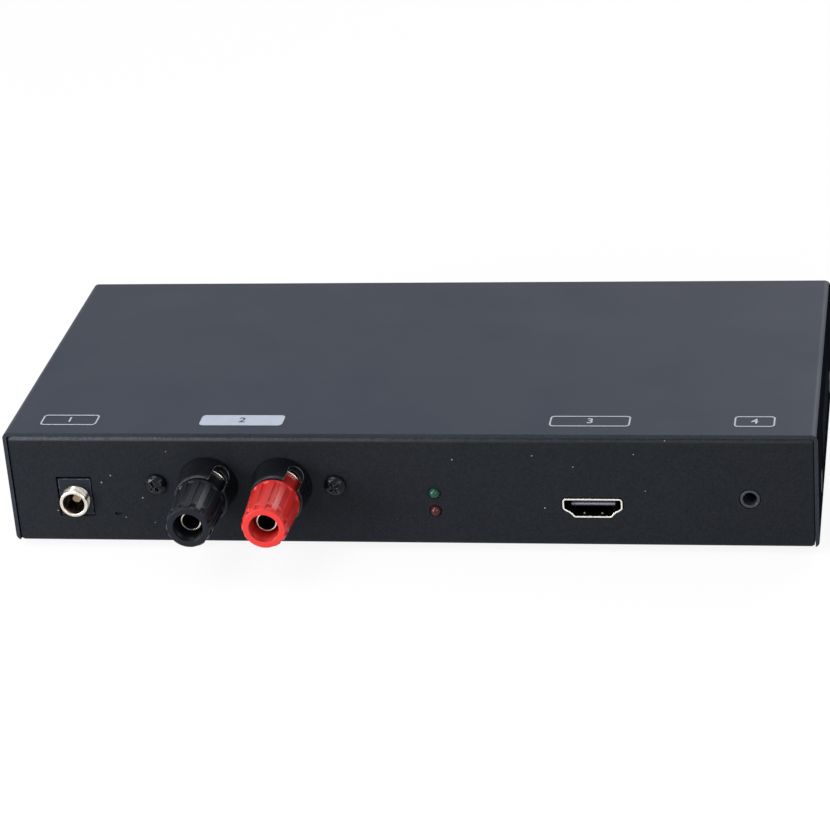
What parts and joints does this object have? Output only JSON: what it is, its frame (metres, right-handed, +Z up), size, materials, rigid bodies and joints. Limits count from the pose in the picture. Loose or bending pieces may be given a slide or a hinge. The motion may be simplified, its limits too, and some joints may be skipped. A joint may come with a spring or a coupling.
{
  "type": "video extender receiver",
  "caption": "Flat sheet-steel receiver box with a power jack, a black and a red binding post, two lamps, a video socket and a small round jack.",
  "frame": {"origin": "middle of the whole part's bounding box, on the ground under the feet", "axes": "+X along the case to the right seen from the front panel, +Y from the front panel to the rear, +Z up"},
  "size_m": [0.204, 0.1162, 0.033],
  "materials": {
    "cover_paint": "satin powder coat",
    "tray_paint": "satin powder coat",
    "black_steel": "black oxide",
    "foot_rubber": "matte",
    "board_green": "solder mask",
    "zinc_steel": "zinc plated",
    "black_plastic": "moulded, fine grain",
    "nickel": "nickel plated",
    "bronze": "spring bronze",
    "white_plastic": "moulded",
    "brass": "turned",
    "tinned_lug": "tin plated",
    "knob_black_plastic": "gloss",
    "knob_red_plastic": "gloss",
    "lead_black_skin": "soft vinyl",
    "lead_red_skin": "soft vinyl",
    "lamp_green": "tinted epoxy",
    "lamp_red": "tinted epoxy",
    "socket_gold": "pale gold flash",
    "socket_grey": "moulded",
    "contact_gold": "gold flash",
    "chip_epoxy": "moulded epoxy",
    "pad_blue": "soft",
    "anodised": "black anodised",
    "can_metal": "drawn can",
    "ferrite": "sintered ferrite",
    "cap_sleeve": "shrunk sleeve"
  },
  "bodies": {
    "housing": {"base_tray": "tray_paint", "top_cover": "cover_paint", "cover_screws": "black_steel", "rubber_feet": "foot_rubber", "main_board": "board_green", "board_spacers": "zinc_steel", "board_screws": "zinc_steel", "dc_jack_body": "black_plastic", "dc_jack_barrel": "nickel", "dc_jack_pin": "nickel", "dc_jack_spring": "bronze", "reset_switch": "white_plastic", "terminal_block": "black_plastic", "terminal_screws": "black_steel", "terminal_nuts": "zinc_steel", "stem_black": "nickel", "stem_red": "nickel", "stem_nuts": "brass", "solder_lugs": "tinned_lug", "lead_black": "lead_black_skin", "lead_red": "lead_red_skin", "lead_plug": "white_plastic", "lead_header": "white_plastic", "led_green": "lamp_green", "led_red": "lamp_red", "led_holder": "black_plastic", "video_shell": "socket_gold", "video_insulator": "socket_grey", "video_contacts": "contact_gold", "ir_jack_body": "black_plastic", "ir_jack_contacts": "tinned_lug", "receiver_chip": "chip_epoxy", "thermal_pad": "pad_blue", "heat_sink": "anodised", "modem_chip": "chip_epoxy", "memory_chip": "chip_epoxy", "crystal": "can_metal", "coupling_transformer": "ferrite", "capacitors": "cap_sleeve", "power_inductor": "ferrite", "regulator": "chip_epoxy"},
    "black_clamp": {"clamp_ring_black": "tinned_lug"},
    "red_clamp": {"clamp_ring_red": "tinned_lug"},
    "black_knob": {"knob_black": "knob_black_plastic", "knob_insert_black": "brass"},
    "red_knob": {"knob_red": "knob_red_plastic", "knob_insert_red": "brass"},
    "reset_button": {"reset_plunger": "black_plastic"}
  },
  "joints": [
    {"name": "black_clamp_slide", "type": "slide", "parent": "housing", "child": "black_clamp", "axis": [0, -1, 0], "range_m": [0, 0.0048]},
    {"name": "black_knob_turn", "type": "hinge", "parent": "black_clamp", "child": "black_knob", "pos_m": [-0.0501, -0.0347, 0.01862], "axis": [0, -1, 0], "range_deg": [0, 2160]},
    {"name": "red_clamp_slide", "type": "slide", "parent": "housing", "child": "red_clamp", "axis": [0, -1, 0], "range_m": [0, 0.0048]},
    {"name": "red_knob_turn", "type": "hinge", "parent": "red_clamp", "child": "red_knob", "pos_m": [-0.0311, -0.0347, 0.01862], "axis": [0, -1, 0], "range_deg": [0, 2160]},
    {"name": "reset_press", "type": "slide", "parent": "housing", "child": "reset_button", "axis": [0, 1, 0], "range_m": [0, 0.00025], "stiffness_N_per_m": 4000, "springref_m": -0.0001}
  ],
  "couplings": [
    {"joint": "black_knob_turn", "follows": "black_clamp_slide", "rad_per_m": 7854},
    {"joint": "red_knob_turn", "follows": "red_clamp_slide", "rad_per_m": 7854}
  ]
}
